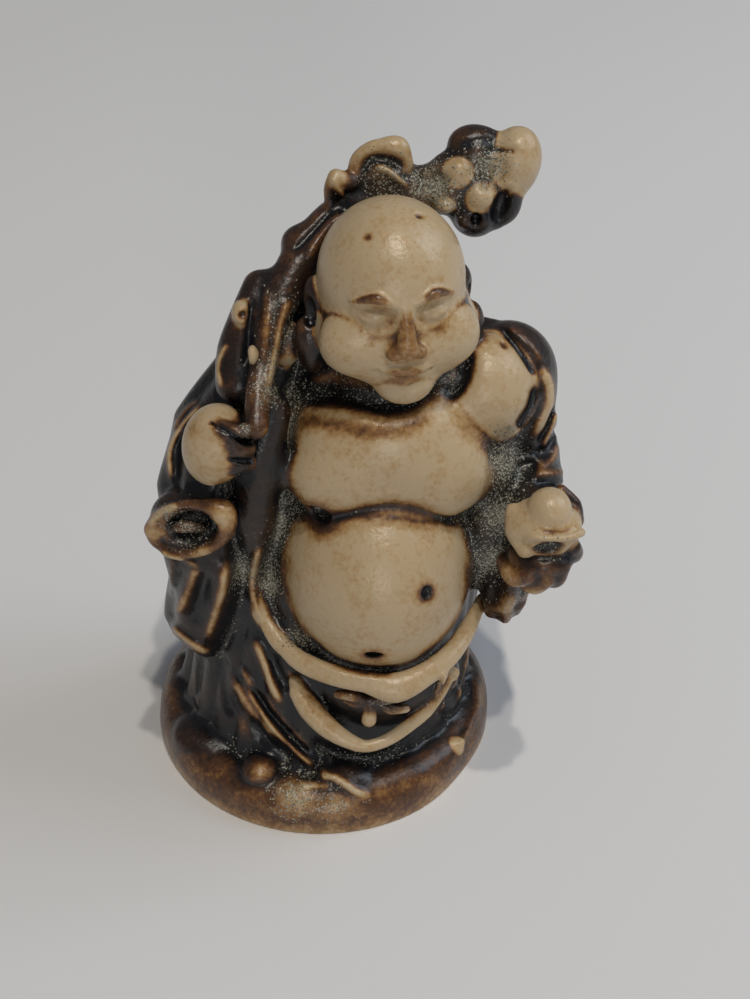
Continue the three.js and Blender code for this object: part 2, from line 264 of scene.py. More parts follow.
def draw(points, width, height=0.0, wiped=0.0):
    """Draws a stroke on the clay and keeps it for the colour."""
    stroke = Stroke(points, width, height, wiped)
    strokes.append(stroke)
    if height:
        span, places = clay.window(stroke, 0)
        clay.field[span] -= np.float32(height) * stroke.strength(*places)


daubs = []


def daub(centre, reach, stain=0.0, dust=0.0):
    """A soft spot of colour: more stain, or less where it is negative, and grey dust."""
    daubs.append((np.array(centre, dtype=float), reach, stain, dust))


def pit(centre, sizes, stain=0.9, turn=(0, 0, 0)):
    """A hole that a bubble left in the casting, with dark stain in it."""
    clay.carve(ball(centre, sizes, turn), 0.15)
    daub(centre, max(sizes) * 1.15, stain)


def robe_fold(angle, z):
    """Upright folds, deep on the back and shallow in front."""
    behind = smooth_step(np.sin(angle), -0.35, 0.3)
    depth = 0.05 * smooth_step(z, 36, 8) * (0.25 + behind)
    wave = np.cos(BACK_FOLDS * angle + 0.05 * z + 0.5 * np.sin(3 * angle))
    return 1 + depth * (np.abs(wave) * 2 - 1.1)


ROBE_LEVELS = (
    (2.5, 0, 0.6, 14.0, 13.1),
    (6.5, 0.4, 0.7, 13.2, 12.2),
    (10.5, 0.9, 0.8, 12.9, 11.5),
    (14.5, 1.5, 0.9, 12.8, 10.9),
    (18.5, 2.0, 1.1, 12.7, 9.9),
    (22.5, 2.6, 1.3, 12.5, 8.7),
    (26.5, 3.2, 1.6, 12.3, 7.7),
    (30.5, 4.0, 1.8, 12.1, 6.9),
    (34.5, 4.8, 1.8, 11.5, 6.1),
    (38.5, 5.6, 1.6, 9.8, 5.1),
    (42.5, 6.2, 1.2, 5.8, 3.9),
)
robe = bell(ROBE_LEVELS, robe_fold)
clay.press_on(robe, 0.6)
right_front = roll(
    [(-3.4, -4.2, 40), (-4.9, -5.2, 35), (-5.6, -5.6, 29), (-6.2, -4.8, 23.5), (-6.6, -5.2, 18.6)],
    [1.5, 2.1, 2.0, 1.4, 1.0],
)
left_front = roll(
    [(15.2, -1.6, 36), (15, -3.4, 31), (14.4, -4.4, 26), (13.9, -4.2, 20.5)],
    [1.6, 2.0, 2.0, 1.2],
)
collar = roll(
    [(-1.6, 1.2, 41.4), (0.4, 4.4, 41.2), (6, 6.4, 40.6), (11.6, 5.2, 41), (15, 2.6, 42)],
    [0.9, 1.1, 1.2, 1.1, 0.8],
)
for part in (right_front, left_front, collar):
    clay.press_on(part, 1.6)
robe_edge_line = [(-5.0, -6.4, 26.5), (-5.9, -5.6, 22.6), (-6.0, -6.3, 20.4), (-5.2, -7.6, 18.2)]
draw(robe_edge_line, 0.45, 0.55, 0.45)
draw([(-4.2, -5.2, 25.2), (-4.6, -5.9, 22.2), (-4.4, -6.8, 20.0), (-3.2, -8.2, 18.2)], 0.55, -0.5, -0.2)
DUSTY_GAPS = (
    ((-3.6, -2.6, 35.8), 1.7),
    ((-4.4, -3.4, 31.5), 1.6),
    ((-4.6, -4.2, 27.4), 1.8),
    ((-6.8, -6.0, 23.6), 1.4),
    ((-4.4, -6.2, 21.6), 1.0),
    ((-2.2, -8.7, 17.6), 0.9),
    ((15.6, -4.6, 33.2), 1.8),
    ((15.4, -5.8, 28.6), 1.8),
    ((14.8, -5.6, 24.0), 1.5),
)
for place, reach in DUSTY_GAPS:
    daub(place, reach, -0.12, 0.75)


# The trunk. The open robe bares a broad chest and a great round belly, with one soft crease between.
# It is the smoothest and most rubbed part of the casting. Stain stays in the gaps round it, and bubbles
# in the resin have left a few open pits.

belly = ball((4.9, -3.5, 22.4), (8.6, 10.0, 10.2))
chest = ball((5.9, -3.0, 35.0), (8.0, 6.0, 6.4))
right_breast = ball((1.9, -5.6, 33.2), (4.3, 3.0, 3.5), (0, 0, 8))
left_breast = ball((9.9, -5.6, 33.0), (4.2, 3.0, 3.5), (0, 0, -8))
fold_of_belly = ball((5.9, -5.4, 31.4), (6.6, 2.9, 2.6))
neck = roll([(6, -0.5, 38), (6.3, -1.2, 44)], [4.4, 4.2])
shoulder = ball((13.8, -1.3, 38.6), (4.6, 4.3, 4.8))
clay.press_on(neck, 0.8)
clay.press_on(chest, 0.6)
for part in (right_breast, left_breast, fold_of_belly):
    clay.press_on(part, 2.2)
clay.press_on(shoulder, 1.6)
clay.press_on(belly, 1.1)
draw([(0.2, -7.8, 30.0), (3.6, -7.9, 31.1), (5.9, -7.8, 31.4), (8.4, -7.8, 30.9), (12.1, -6.9, 28.3)], 0.5, -0.3, -0.12)
THROAT = [(-4.0, -2.4, 39.6), (-1.0, -3.4, 40.0), (2.2, -4.6, 40.2), (5.6, -5.6, 40.0), (9.6, -4.4, 40.4)]
draw(THROAT, 1.0, -0.9, -0.9)
draw([(-2.6, -3.6, 37.6), (1.6, -5.6, 38.2), (5.6, -6.6, 38.0), (10.2, -5.4, 38.8)], 0.8, 0, -0.4)
draw([(12.4, -3.4, 43.4), (12.0, -4.2, 41.4), (10.8, -4.6, 40.2)], 0.7, -0.6, -0.9)
draw([(-2.9, -4.6, 36.2), (-2.9, -5.2, 33.4), (-2.2, -6.2, 31.0), (-0.8, -6.6, 28.6)], 0.65, 0, -0.3)
draw([(13.6, -5.0, 33.6), (13.7, -5.2, 31.4), (13.0, -5.8, 28.8)], 0.5, 0, -0.25)
draw([(-2.6, -6.8, 25.6), (-3.3, -7.2, 22.4), (-2.5, -8.6, 19.4), (-0.4, -10.2, 17.6)], 0.7, 0, -0.3)
draw([(12.7, -6.4, 24.6), (12.6, -7.4, 21.0), (10.9, -9.6, 18.4), (7.6, -11.8, 17.0)], 0.5, 0, -0.4)
draw([(-1.6, -9.0, 18.2), (1.0, -11.3, 17.0), (4.0, -12.2, 16.5), (6.6, -12.2, 16.6)], 0.45, -0.3, -0.5)
daub((13.6, -3.9, 37.2), 1.6, 0.16)
daub((12.4, -4.9, 35.4), 1.3, 0.12)
pit((-0.2, -7.9, 30.6), (1.15, 1.5, 1.0))
pit((12.2, -6.9, 29.4), (0.42, 1.0, 0.42))
pit((8.9, -12.2, 25.3), (0.6, 0.8, 0.75))
pit((4.3, -12.8, 19.2), (0.75, 0.9, 0.5))
pit((15.6, -1.6, 43.4), (0.6, 0.9, 0.7), 0.35)


# The head. It is bald, full-cheeked and turned a little to its left, with long ear lobes.
# The face is calm: lids closed at half the head's height, a broad nose and a quiet smile.

HEAD_MIDDLE = (6.1, -1.6, 49.0)
HEAD_TURN = 8.0
head_place = Matrix.Translation(HEAD_MIDDLE) @ Matrix.Rotation(math.radians(HEAD_TURN), 4, "Z")


def on_head(x, y, z):
    """A place on the head, from its own middle to the figure's frame."""
    return tuple(head_place @ Vector((x, y, z)))


def head_ball(centre, half_sizes, turn=(0, 0, 0)):
    """A ball on the head, which turns with it."""
    return ball(on_head(*centre), half_sizes, (turn[0], turn[1], turn[2] + HEAD_TURN))


def head_roll(points, radii, **options):
    """A roll on the head."""
    return roll([on_head(*place) for place in points], radii, **options)


skull = head_ball((0, 0, 0.7), (5.9, 6.2, 6.3))
jaw = head_ball((0.3, -0.9, -3.4), (6.6, 5.7, 4.4))
right_cheek, left_cheek = (head_ball((side * 3.7, -3.7, -2.8), (2.7, 2.2, 2.6)) for side in (-1, 1))
chin = head_ball((0.2, -4.9, -6.3), (2.3, 1.8, 1.7))
clay.press_on(skull, 0.5)
clay.press_on(jaw, 1.2)
clay.press_on(right_cheek, 1.0)
clay.press_on(left_cheek, 1.0)
clay.press_on(chin, 1.2)
pit((4.0, -4.7, 54.9), (0.42, 0.42, 0.3), 0.7)
pit((8.3, -2.7, 55.5), (0.5, 0.4, 0.25), 0.3)
for side in (-1, 1):
    clay.carve(head_ball((side * 2.3, -6.3, 0.5), (1.6, 1.0, 1.0), (0, 0, side * 14)), 0.7)
for side in (-1, 1):
    lid = head_ball((side * 2.3, -5.0, 0.15), (1.35, 0.85, 0.85), (0, 0, side * 14))
    brow = head_roll(
        [(side * 0.9, -6.05, 1.6), (side * 2.3, -5.85, 2.15), (side * 3.9, -4.75, 1.5)],
        [0.25, 0.42, 0.2],
    )
    clay.press_on(lid, 0.2)
    clay.press_on(brow, 0.5)
    lash_line = head_roll(
        [(side * 1.1, -5.75, 0.0), (side * 2.35, -5.95, -0.38), (side * 3.6, -5.0, 0.05)],
        [0.12, 0.16, 0.1],
    )
    clay.carve(lash_line, 0.15)
nose = head_roll([(0, -5.9, 1.1), (0, -6.6, -0.8), (0, -6.9, -1.9)], [0.5, 0.7, 0.9])
clay.press_on(nose, 0.6)
for side in (-1, 1):
    clay.press_on(head_ball((side * 0.95, -6.5, -2.45), (0.7, 0.75, 0.6)), 0.3)
    clay.carve(head_ball((side * 0.5, -7.1, -3.05), (0.24, 0.3, 0.2)), 0.15)
upper_lip = [(-2.2, -5.9, -4.0), (-1.0, -6.5, -4.15), (0, -6.6, -4.05), (1.0, -6.5, -4.15)]
clay.press_on(head_roll(upper_lip + [(2.2, -5.9, -4.0)], [0.15, 0.42, 0.45, 0.42, 0.15]), 0.4)
lower_lip = [(-1.5, -6.1, -4.75), (0, -6.45, -5.0), (1.5, -6.1, -4.75)]
clay.press_on(head_roll(lower_lip, [0.2, 0.5, 0.2]), 0.4)
mouth_line = [(-2.6, -5.75, -4.1), (-1.2, -6.7, -4.55), (0, -6.95, -4.6), (1.2, -6.7, -4.55)]
clay.carve(head_roll(mouth_line + [(2.6, -5.75, -4.1)], [0.12, 0.17, 0.17, 0.17, 0.12]), 0.15)
for side in (-1, 1):
    outer = side * 1.0
    ear = head_ball((outer * 5.75, 1.1, -2.0), (1.1, 1.7, 2.5), (0, side * 8, 0))
    lobe = head_ball((outer * 6.6, 0.4, -5.3), (1.25, 1.5, 2.6), (0, side * 8, 0))
    clay.press_on(ear, 0.4)
    clay.press_on(lobe, 0.5)
    clay.carve(head_ball((outer * 6.6, 0.1, -2.0), (0.7, 0.7, 1.4), (0, side * 8, 0)), 0.3)


# The right arm. The wide sleeve hangs to the hip in a bag, its cuff gapes below the wrist, and the
# smooth fist above it grips the branch. Thin ridges of cloth run back from the fist round the sleeve.


def sleeve_fold(angle, z):
    """Slack, slanting folds."""
    return 1 + 0.05 * np.sin(5 * angle + z / 3) + 0.025 * np.sin(9 * angle - z / 2)


right_sleeve = bell(
    (
        (11.6, -10.6, -1.8, 2.2, 2.4),
        (14.4, -10.2, -1.6, 4.1, 4.8),
        (20, -9.7, -1.6, 4.0, 6.2),
        (25, -9.8, -1.8, 4.1, 6.6),
        (30, -9.6, -1.4, 4.1, 6.0),
        (35, -8.0, 0, 4.1, 5.2),
        (40, -4.6, 1.8, 3.6, 4.0),
        (43, -2.6, 2.4, 2.0, 2.0),
    ),
    sleeve_fold,
)
cuff_points = [(-13.9, -7.2, 29.0), (-13.0, -7.6, 31.0), (-11.4, -7.8, 32.0), (-9.6, -8.2, 32.2)]
cuff_points = cuff_points + [(-8.0, -8.4, 31.6), (-7.9, -8.8, 29.9), (-9.6, -9.0, 28.3)]
cuff_points = cuff_points + [(-12.0, -8.6, 27.5), (-13.6, -7.4, 27.9), (-13.9, -7.2, 29.0)]
cuff = roll(cuff_points, [0.9, 0.4, 0.35, 0.5, 1.1, 0.8, 0.6, 0.4, 0.7, 0.9])
fist = ball((-8.3, -6.8, 37.3), (2.75, 2.9, 3.6), (0, 10, 0))
clay.press_on(right_sleeve, 0.8)
clay.press_on(ball((-11, -6.2, 29.4), (3.3, 2.6, 2.7)), 0.8)
clay.press_on(cuff, 0.45)
clay.carve(ball((-10.9, -9.6, 29.9), (2.4, 2.9, 1.7), (0, -14, 0)), 0.4)
clay.press_on(roll([(-12.6, -7.4, 29.0), (-11.4, -8.0, 29.9), (-9.9, -8.0, 29.6)], [0.3, 0.6, 0.4]), 0.5)
draw([(-14.3, -7.4, 29.6), (-13.2, -7.7, 31.2), (-11.6, -7.9, 32.0)], 0.3, 0.2, 0.35)
draw([(-13.6, -8.2, 27.3), (-12.0, -8.9, 27.0), (-10.4, -9.3, 26.6)], 0.25, 0.2, 0.4)
daub((-13.8, -8.2, 29.2), 1.1, -0.45)
daub((-8.0, -9.3, 31.6), 1.25, -0.5)
daub((-9.8, -9.4, 28.2), 0.8, -0.3)
daub((-12.6, -8.3, 31.3), 0.9, -0.2, 0.4)
daub((-10.9, -8.2, 29.6), 1.5, 0.0, 0.35)
SLEEVE_RIDGES = (
    ([(-9.5, -2.2, 38.4), (-11.3, -1.6, 35.8), (-12.6, -1.8, 33.2), (-12.5, -4.6, 31.8)], 0.26, 0.4, 0.6),
    ([(-9.9, -0.4, 37.4), (-11.2, 0.0, 36.1), (-12.4, -0.6, 34.2)], 0.22, 0.25, 0.4),
    ([(-9.8, -3.4, 38.6), (-11.6, -2.2, 34.8), (-11.9, -4.4, 32.6), (-11.4, -6.6, 31.9)], 0.3, -0.3, -0.2),
    ([(-10.4, -9.4, 26.9), (-11.3, -7.6, 22.9), (-12.2, -6.6, 20.2), (-13.0, -5.0, 17.6)], 0.5, 0.45, 0.3),
    ([(-7.8, -7.3, 25.9), (-8.4, -7.9, 22.9), (-9.3, -7.5, 19.7), (-10.4, -6.9, 15.7)], 0.45, 0.5, 0.4),
    ([(-13.9, -3.3, 15.0), (-12.6, -5.7, 15.4), (-11.3, -6.4, 14.8), (-10.1, -5.4, 13.0)], 0.42, 0.5, 0.45),
    ([(-9.6, -8.5, 25.2), (-10.5, -7.5, 21.7), (-11.5, -7.0, 18.3)], 0.7, -0.45, -0.1),
    ([(-7.0, -6.9, 22.6), (-7.9, -7.0, 18.4), (-9.1, -6.9, 14.5)], 0.6, -0.5, -0.15),
    ([(-12.6, -6.4, 25.4), (-13.2, -5.2, 21.4), (-13.6, -4.2, 18.8)], 0.3, 0.25, 0.2),
    ([(-12.1, -7.2, 24.6), (-12.6, -6.2, 21.6)], 0.3, -0.25, 0.0),
)
for points, width, height, wiped in SLEEVE_RIDGES:
    draw(points, width, height, wiped)
pit((-13.9, -3.6, 15.9), (0.4, 0.6, 0.35))
clay.press_on(fist, 0.3)
FINGER_HEIGHTS = (40.0, 38.3, 36.7)
for z in FINGER_HEIGHTS:
    knuckles = [(-7.8, -8.4, z + 0.1), (-6.5, -8.9, z - 0.1), (-5.6, -8.2, z - 0.4)]
    clay.press_on(roll(knuckles, [0.55, 0.7, 0.6]), 1.0)
draw([(-8.8, -8.0, 40.5), (-7.4, -8.6, 40.0), (-6.1, -9.2, 39.4), (-5.2, -9.1, 39.0)], 0.22, -0.4, -0.5)
draw([(-7.3, -9.9, 38.2), (-6.2, -9.8, 37.8), (-5.3, -9.0, 37.2)], 0.22, -0.3, -0.45)
draw([(-8.4, -9.4, 34.6), (-6.8, -9.4, 35.0), (-5.6, -8.6, 35.8)], 0.5, -0.3, -0.7)
draw([(-5.9, -8.6, 40.8), (-5.3, -8.8, 40.3), (-5.5, -8.9, 39.8)], 0.25, 0.2, 0.0)
daub((-5.7, -8.9, 40.2), 0.6, 0.1, 0.5)
daub((-9.4, -9.2, 36.4), 0.8, 0.14)
daub((-10.2, -7.6, 39.4), 0.7, 0.1)


# The left arm. The robe has slipped from the shoulder and is bunched in rolls on the upper arm. The
# forearm is held out, with the palm up under the ingot and the sleeve's end hanging below it.

sleeve_cap = ball((16.2, 1.0, 38.2), (4.3, 4.0, 5.0))
left_sleeve = roll([(16.6, 0.4, 36.6), (17.4, 0.8, 32.6), (17.8, 0.2, 29.6)], [3.6, 3.4, 3.3])
forearm = roll([(18, 0.2, 29.2), (18.6, -5.5, 28.6), (18.2, -10, 29)], [3.2, 2.7, 1.9])
sleeve_end = bell(
    (
        (17.2, 16.2, -4.6, 1.6, 2.4),
        (19.5, 16.4, -4.2, 2.3, 3.6),
        (24, 17, -3.6, 2.5, 4.1),
        (28, 17.6, -3.6, 2.3, 3.7),
    ),
    lambda angle, z: 1 + 0.09 * np.sin(6 * angle + z / 4),
)
palm = ball((18.3, -11.2, 28.7), (2.8, 3.1, 1.4), (-8, 0, 0))
clay.press_on(sleeve_cap, 0.25)
clay.press_on(left_sleeve, 0.8)
clay.press_on(forearm, 0.6)
clay.press_on(sleeve_end, 0.7)
clay.press_on(palm, 0.5)
SLIPPED_FOLDS = (
    ([(15.5, 0.3, 43.4), (16.4, -1.5, 43.0), (17.3, -2.6, 42.0), (18.0, -3.0, 41.0)], 0.3, -0.35, -0.5),
    ([(15.9, 0.9, 43.1), (17.4, -0.3, 42.6), (18.9, -1.3, 40.7)], 0.35, 0.25, 0.15),
    ([(18.1, -3.3, 39.8), (17.6, -4.0, 38.3), (16.6, -4.3, 36.7)], 0.5, -0.5, -0.7),
    ([(18.7, -1.8, 40.8), (19.5, -1.0, 38.0), (19.4, -1.8, 36.4), (18.3, -3.3, 34.9)], 0.55, 0.5, 0.75),
    ([(20.1, -0.5, 35.8), (19.4, -1.9, 34.8), (18.7, -2.6, 33.7)], 0.25, -0.35, -0.2),
    ([(20.5, -0.1, 35.1), (20.0, -1.1, 33.9), (19.2, -2.2, 32.8)], 0.3, 0.4, 0.5),
    ([(20.6, -0.3, 33.9), (19.9, -1.5, 32.8), (18.7, -2.8, 32.6)], 0.35, -0.4, -0.3),
    ([(20.8, -0.6, 31.9), (20.2, -2.0, 31.5), (18.5, -3.9, 31.9)], 0.4, 0.4, 0.3),
    ([(16.9, -4.6, 33.4), (18.2, -4.0, 33.2), (19.2, -2.9, 32.0)], 0.3, 0.3, 0.2),
    ([(21.2, -2.0, 30.2), (20.2, -3.2, 31.0), (18.2, -4.2, 31.6)], 0.35, 0.35, 0.25),
    ([(21.3, -3.4, 29.4), (19.9, -4.4, 30.8), (18.2, -5.0, 31.0)], 0.3, -0.4, -0.2),
    ([(14.8, -7.2, 18.8), (15.8, -7.6, 19.6), (16.6, -8.0, 21.0)], 0.6, 0.4, 0.2),
    ([(16.0, -7.4, 18.6), (17.6, -7.0, 19.4), (18.8, -6.2, 20.4)], 0.3, -0.3, 0.1),
)
for points, width, height, wiped in SLIPPED_FOLDS:
    draw(points, width, height, wiped)
pit((19.9, -1.4, 36.2), (0.25, 0.5, 0.3), 0.7)
daub((16.8, -6.6, 19.8), 2.0, -0.25, 0.15)
daub((15.6, -4.4, 36.4), 1.1, -0.1, 0.5)
FINGERS = (
    ([(15.6, -10.8, 27.4), (16.0, -12.6, 27.6), (16.9, -13.6, 28.4)], [1.0, 1.05, 0.8]),
    ([(16.9, -11.6, 26.4), (17.6, -13.0, 27.0), (18.4, -13.6, 28.0)], [0.9, 1.0, 0.8]),
    ([(18.4, -11.4, 26.8), (19.2, -12.8, 27.4), (19.6, -13.2, 28.6)], [0.9, 0.95, 0.75]),
    ([(20.4, -9.6, 27.6), (20.8, -11.4, 28.8), (20.6, -12.4, 30.2)], [1.0, 0.9, 0.7]),
)
for points, radii in FINGERS:
    clay.press_on(roll(points, radii), 0.3)
daub((15.9, -12.6, 28.0), 1.3, -0.6)
daub((17.6, -13.6, 26.6), 1.3, -0.45)
daub((18.4, -14.0, 28.4), 0.9, -0.25)


# The ingot. A boat-shaped lump of silver with a dome in it, and a dished front where dirt has settled.

INGOT_MIDDLE = np.array((18.2, -11.6, 31.9))


def on_ingot(x, y, z):
    """A place measured from the ingot's middle."""
    return tuple(INGOT_MIDDLE + (x, y, z))


ingot_hull = ball(on_ingot(0, 0, 0), (3.1, 2.7, 2.3))
ingot_side = roll([on_ingot(-2.5, 0.8, 1.0), on_ingot(-2.3, -0.6, 0.0), on_ingot(-1.7, -1.8, -1.0)], [0.6, 0.9, 0.7])
ingot_back = roll([on_ingot(1.5, 1.8, 2.2), on_ingot(2.6, 1.4, 1.0), on_ingot(3.0, 1.0, -0.4)], [0.5, 0.6, 0.5])
rim_points = [on_ingot(-1.9, -1.7, 0.0), on_ingot(-1.2, -2.5, 0.8), on_ingot(0.2, -2.8, 0.9)]
rim_points = rim_points + [on_ingot(1.6, -2.5, 0.7), on_ingot(2.8, -1.4, 0.3)]
ingot_rim = roll(rim_points, [0.3, 0.28, 0.28, 0.3, 0.4])
ingot_dome = ball(on_ingot(0.3, -0.2, 1.7), (1.85, 1.9, 1.9))
clay.press_on(ingot_hull, 0.4)
clay.press_on(ingot_side, 0.4)
clay.press_on(ingot_back, 0.4)
clay.press_on(ingot_dome, 0.15)
clay.press_on(ingot_rim, 0.2)
ingot_hollow = ball(on_ingot(0.2, -3.2, -0.6), (1.65, 1.5, 1.0))
clay.carve(ingot_hollow, 0.25)
daub(on_ingot(0.2, -2.4, -0.4), 1.2, 0.75, 0.2)
daub(on_ingot(2.6, 1.2, 0.6), 1.0, 0.35)
draw([on_ingot(-1.5, -2.6, -1.3), on_ingot(0.2, -3.0, -1.6), on_ingot(2.0, -2.2, -1.0)], 0.3, 0.15, 0.2)


# The sack. It hangs behind the right shoulder, gathered and tied at its neck, under the branch.


def sack_fold(angle, z):
    """Pleats that run together at the tied neck."""
    return 1 + 0.0034 * (z - 26) * np.cos(9 * angle)


sack = bell(
    (
        (26, -1.0, 6.4, 2.4, 2.0),
        (28, -1.1, 6.6, 4.8, 3.8),
        (31, -1.3, 7.0, 6.7, 5.3),
        (36, -1.4, 7.2, 7.4, 6.0),
        (41, -0.6, 6.6, 5.4, 4.8),
        (45, 0.3, 6.0, 3.0, 3.0),
        (48.5, 1.0, 6.0, 2.2, 2.2),
    ),
    sack_fold,
)
clay.press_on(sack, 0.5)
tie = [(-2.4, 3.4, 45.2), (-2.8, 7.0, 45.0), (0.2, 9.4, 45.2), (3.6, 7.6, 45.4), (3.6, 4.4, 45.4)]
clay.press_on(roll(tie, [0.55, 0.6, 0.6, 0.6, 0.55]), 0.2)


# The branch. A gnarled length of wood from the fist, over the shoulder and behind the head, with burls,
# a curled leaf and a broad broken end. It is cast in one with the rest and stained like the cloth.

branch_points = [
    (-4.9, -7.4, 39.4),
    (-4.7, -4.2, 41.6),
    (-4.2, -2.2, 43.3),
    (-3.4, -0.6, 45.2),
    (-1.4, 2.6, 48.2),
    (1.2, 5.2, 50.2),
    (5, 6.8, 52.2),
    (10, 7, 52.8),
    (13.6, 7, 53.4),
]
BRANCH_RADII = [1.0, 1.05, 1.15, 1.35, 1.7, 1.9, 2.0, 2.1, 2.2]
branch = roll(branch_points, BRANCH_RADII)
gnarled_root = roll(
    [(-4.4, 1.8, 46.8), (-5.4, 0.0, 44.8), (-6.2, -1.2, 42.6), (-6.4, -2.6, 40.4)],
    [1.5, 1.7, 1.9, 1.9],
)
branch_end = ball((16.4, 6.9, 55.0), (2.3, 2.4, 3.2), (0, 16, 0))
cup = ball((5.7, 7.1, 54.4), (2.7, 1.9, 2.5))
burls = (
    ball((13.6, 6.9, 53.6), (3.2, 2.4, 3.4), (0, 25, 0)),
    ball((13.7, 7.4, 56.0), (2.7, 2.1, 2.0), (0, 20, 0)),
    ball((11.4, 6.6, 53.6), (2.2, 2.2, 2.6)),
    ball((13.4, 5.8, 51.4), (2.1, 2.1, 2.2)),
    roll([(15.6, 6.0, 53.6), (15.9, 5.6, 51.8), (15.2, 5.4, 50.8)], [1.7, 1.2, 0.8]),
    cup,
    branch_end,
    ball((-0.8, 4.4, 49.2), (1.9, 1.7, 1.7), (0, 30, 0)),
    ball((-3.0, 1.8, 46.8), (1.5, 1.9, 1.6)),
)
clay.press_on(gnarled_root, 0.6)
clay.press_on(branch, 0.4)
for part in burls:
    clay.press_on(part, 0.6)
cup_rim = roll(
    [(3.5, 6.4, 54.0), (3.7, 6.6, 55.6), (4.6, 6.6, 56.5), (5.8, 6.6, 56.8), (7.0, 6.6, 56.7), (7.7, 6.4, 55.4)],
    [0.6, 0.6, 0.65, 0.75, 0.95, 0.6],
)
bead_a = ball((11.9, 5.4, 55.0), (1.05, 0.9, 1.15))
bead_b = ball((13.7, 4.6, 53.2), (1.1, 0.9, 1.2), (0, 40, 0))
bead_c = ball((10.8, 4.6, 52.5), (0.8, 0.7, 0.6))
knob = ball((-5.9, -1.0, 46.2), (0.85, 1.1, 1.0))
small_knob = ball((-5.2, -4.2, 44.2), (0.6, 0.7, 0.9))
branch_knobs = (
    cup_rim,
    bead_a,
    bead_b,
    bead_c,
    roll([(12.3, 5.1, 54.9), (13.1, 4.7, 54.4), (13.9, 4.5, 53.8)], [0.35, 0.3, 0.35]),
    ball((14.0, 4.6, 51.3), (0.8, 0.8, 0.8)),
    ball((12.4, 4.4, 51.4), (0.7, 0.8, 0.8)),
    knob,
    small_knob,
)
for part in branch_knobs:
    clay.press_on(part, 0.3)
clay.carve(ball((14.3, 4.4, 55.4), (1.4, 1.0, 1.3), (0, 20, 0)), 0.7)
clay.carve(ball((15.4, 3.9, 52.6), (0.75, 1.3, 1.7), (0, 15, 0)), 0.4)
clay.carve(ball((13.3, 3.7, 51.6), (0.45, 0.9, 0.6)), 0.2)
clay.carve(ball((9.6, 4.8, 54.6), (1.3, 1.0, 0.8)), 0.6)
daub((15.3, 4.6, 52.4), 1.4, 0.7)
daub((13.4, 4.4, 51.0), 1.2, 0.25)
daub((14.2, 5.2, 55.6), 1.4, -0.25, 0.8)
daub((9.4, 5.4, 54.0), 1.7, -0.3, 0.7)
daub((10.6, 5.2, 53.4), 1.4, -0.25, 0.5)
daub((5.6, 5.6, 54.6), 1.6, -0.2, 0.35)
WOOD_STROKES = (
    ([(4.1, 5.5, 55.2), (4.7, 5.5, 56.2), (5.6, 5.5, 56.4), (7.6, 5.5, 55.7)], 0.35, -0.5, -0.4),
    ([(5.2, 5.0, 56.0), (6.1, 5.0, 55.6), (7.0, 5.0, 54.8), (7.8, 5.0, 54.2)], 0.22, 0.35, 0.45),
    ([(12.1, 6.0, 57.0), (13.4, 6.0, 57.5), (14.9, 6.0, 57.3)], 0.35, -0.2, -0.4),
    ([(13.7, 5.2, 57.0), (15.1, 5.2, 57.2), (16.5, 5.2, 56.8)], 0.3, -0.25, -0.5),
    ([(14.9, 5.0, 56.0), (14.8, 4.8, 55.0), (14.6, 4.6, 54.2)], 0.3, 0.3, 0.2),
    ([(8.6, 5.4, 55.4), (8.9, 5.2, 54.4), (8.6, 5.0, 53.4)], 0.25, -0.3, -0.3),
    ([(-2.0, 0.2, 46.6), (-2.7, -0.6, 44.8), (-3.3, -2.4, 42.8), (-3.9, -5.2, 41.2)], 0.3, 0.4, 0.35),
    ([(-5.0, 0.6, 46.6), (-5.4, -1.4, 44.6), (-5.6, -3.6, 42.6)], 0.3, -0.35, -0.2),
    ([(-3.9, 1.4, 47.2), (-3.9, -0.8, 45.0), (-4.3, -3.4, 42.6)], 0.35, 0.2, 0.15),
    ([(-0.6, 3.0, 48.2), (1.0, 4.4, 50.4), (2.8, 5.4, 51.6)], 0.4, 0.3, 0.1),
    ([(-1.8, 3.2, 48.8), (0.4, 4.6, 50.6), (2.0, 5.6, 52.0)], 0.3, -0.35, -0.1),
)
for points, width, height, wiped in WOOD_STROKES:
    draw(points, width, height, wiped)
for place in ((-3.0, -1.0, 44.4), (-3.6, -3.2, 42.6), (-2.6, 0.4, 46.0), (-4.0, -5.4, 41.4)):
    daub(place, 1.1, -0.22, 0.65)
daub((-4.6, 0.2, 46.0), 1.0, -0.2)
daub((-6.0, -1.8, 46.2), 1.0, -0.5)
pit((-5.8, -1.9, 46.4), (0.35, 0.6, 0.35))
clay.carve(ball((-6.1, -4.6, 43.4), (0.7, 1.2, 1.5)), 0.4)
draw([(-7.1, -2.6, 44.4), (-7.8, -2.8, 43.1), (-8.0, -3.4, 42.0), (-7.7, -4.2, 41.0)], 0.22, 0.25, 0.6)
daub((-7.0, -4.6, 42.0), 0.7, -0.35)
bare_shoulder = ball((-2.4, -0.6, 42.9), (1.3, 1.3, 2.1), (0, 8, 0))
clay.press_on(bare_shoulder, 0.3)
leaf = roll([(1.9, 5.7, 51.6), (1.7, 5.6, 53.4), (2.0, 5.7, 54.6)], [0.9, 0.8, 0.75])
leaf_back = ball((2.9, 5.9, 54.2), (1.0, 0.9, 0.8))
clay.press_on(leaf, 0.4)
clay.press_on(leaf_back, 0.4)
draw([(1.6, 5.0, 54.9), (2.0, 5.0, 54.0), (2.7, 5.0, 53.3)], 0.2, 0.3, 0.3)
draw([(1.6, 4.8, 53.8), (2.2, 4.8, 52.6), (3.2, 4.8, 51.8)], 0.6, -0.4, -0.4)
daub((2.4, 5.2, 54.8), 0.7, -0.35)


